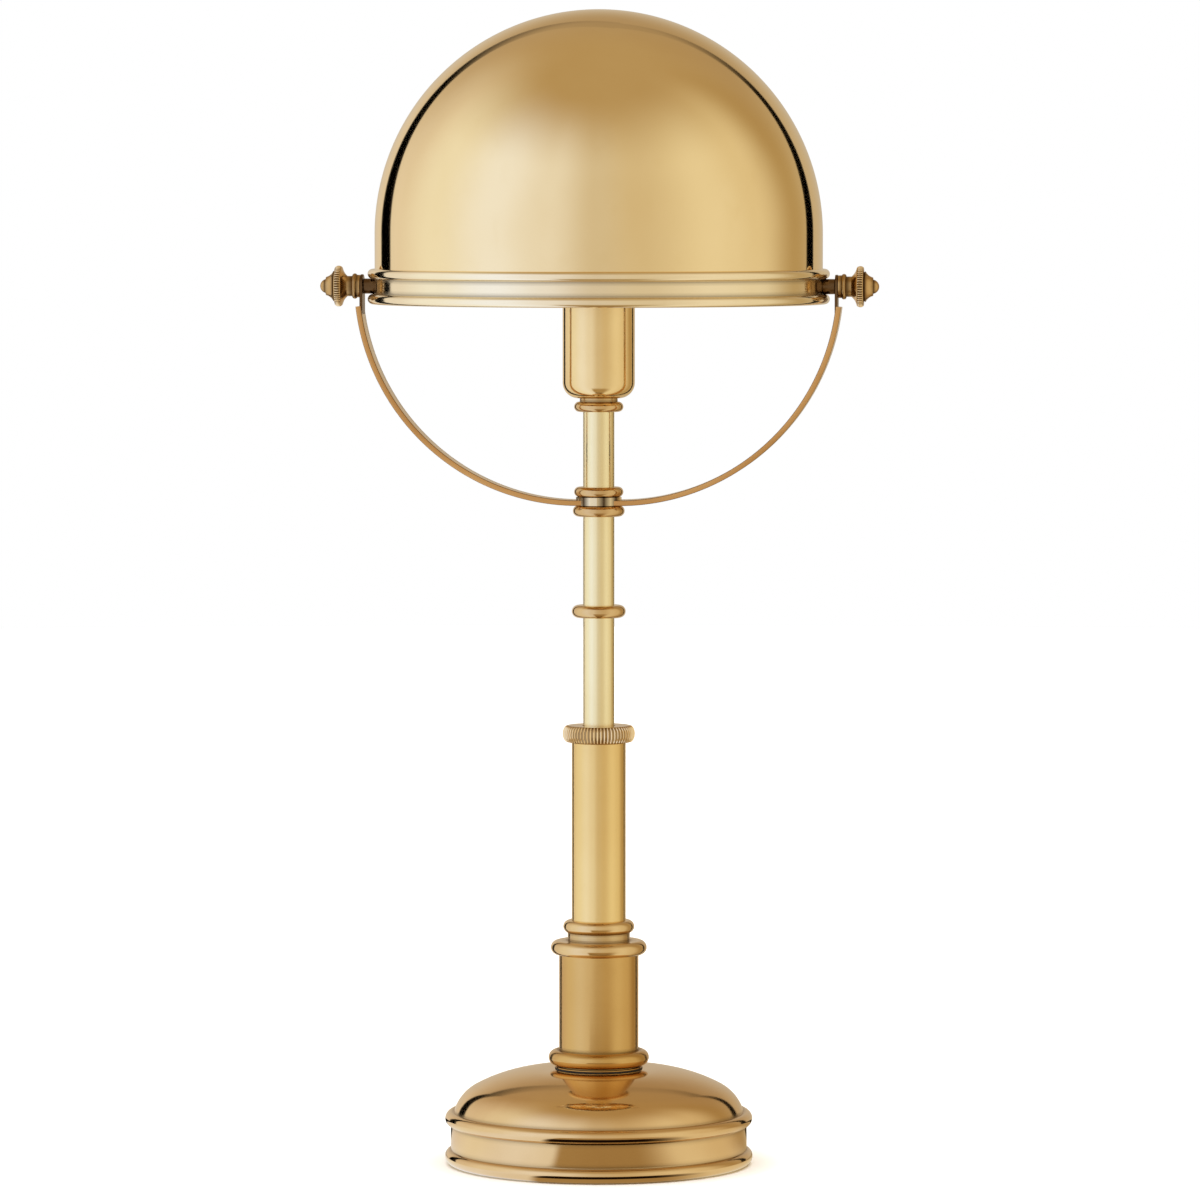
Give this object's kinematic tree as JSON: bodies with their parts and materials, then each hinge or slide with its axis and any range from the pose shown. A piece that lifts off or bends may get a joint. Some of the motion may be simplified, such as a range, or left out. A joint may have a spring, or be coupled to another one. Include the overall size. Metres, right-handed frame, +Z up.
{
  "type": "dome shade desk lamp",
  "caption": "Brass table lamp with a round weighted foot, a telescoping stem in a column, and a half-round shade that tilts in a yoke between two finial knobs.",
  "frame": {"origin": "on the table, under the middle of the foot", "axes": "+Z up along the column, +X along the shade's pivot axis towards the right knob, -Y towards the viewer of the picture"},
  "size_m": [0.2686, 0.2212, 0.5546],
  "materials": {
    "brass_shade": "satin lacquered, fine spun lines",
    "brass_base": "satin lacquered",
    "brass_column": "satin lacquered, drawn along its length",
    "brass_stem": "polished",
    "brass_aged": "aged, rubbed",
    "brass_dark": "oxidised dark",
    "brass_inner": "plain turned",
    "steel": "zinc plated",
    "iron": "as cast, black",
    "felt": "pressed wool felt",
    "black_rubber": "plain",
    "black_plastic": "moulded",
    "nylon": "moulded",
    "phenolic": "moulded",
    "fibre": "pressed fibre",
    "bulb_metal": "plain drawn",
    "black_glass": "glazed insulator with a tinned tip",
    "bulb_glass": "frosted opal"
  },
  "bodies": {
    "stand": {"felt_pad": "felt", "base_plate": "steel", "plate_screws": "steel", "base_weight": "iron", "base_shell": "brass_base", "cord_bush": "black_plastic", "bush_retainer": "steel", "tie_tube": "steel", "tie_nut": "steel", "tie_washer": "steel", "pedestal_gasket": "black_rubber", "pedestal_sleeve": "brass_column", "pedestal_reducer": "brass_column", "column_tube": "brass_column", "column_foot": "brass_inner", "column_head": "brass_inner", "collet": "nylon"},
    "clamp_nut": {"clamp_nut": "brass_column"},
    "guide": {"guide_bush": "nylon"},
    "stem": {"stem_tube": "brass_stem", "retaining_rings": "steel", "stop_ring": "brass_column", "lower_collar": "brass_column", "yoke_strap": "brass_aged", "upper_collar": "brass_column", "grub_screws": "steel", "cup_ring": "brass_column", "socket_cup": "brass_column", "holder_nipple": "steel", "nipple_nut": "steel", "insulating_liner": "fibre", "holder_body": "phenolic", "screw_shell": "brass_inner", "centre_contact": "brass_inner", "terminal_screws": "brass_inner", "bulb_cap": "bulb_metal", "bulb_contact": "black_glass", "bulb_glass": "bulb_glass"},
    "shade": {"shade_rim": "brass_shade", "shade_dome": "brass_shade", "pivot_studs": "brass_aged", "pivot_spacers": "brass_dark", "inner_washers": "brass_aged", "inner_nuts": "brass_aged"},
    "left_knob": {"left_knob": "brass_aged"},
    "right_knob": {"right_knob": "brass_aged"}
  },
  "joints": [
    {"name": "stem_slide", "type": "slide", "parent": "stand", "child": "guide", "axis": [0, 0, 1], "range_m": [-0.05, 0.039]},
    {"name": "stem_swivel", "type": "hinge", "parent": "guide", "child": "stem", "pos_m": [0, 0, 0.13], "axis": [0, 0, 1], "range_deg": [-170, 170]},
    {"name": "shade_tilt", "type": "hinge", "parent": "stem", "child": "shade", "pos_m": [0, 0, 0.4224], "axis": [1, 0, 0], "range_deg": [-70, 70]},
    {"name": "clamp_nut_turn", "type": "hinge", "parent": "stand", "child": "clamp_nut", "pos_m": [0, 0, 0.2077], "axis": [0, 0, 1], "range_deg": [0, 270]},
    {"name": "left_knob_turn", "type": "hinge", "parent": "shade", "child": "left_knob", "pos_m": [-0.12, 0, 0.4224], "axis": [-1, 0, 0], "range_deg": [0, 360]},
    {"name": "right_knob_turn", "type": "hinge", "parent": "shade", "child": "right_knob", "pos_m": [0.12, 0, 0.4224], "axis": [1, 0, 0], "range_deg": [0, 360]}
  ]
}
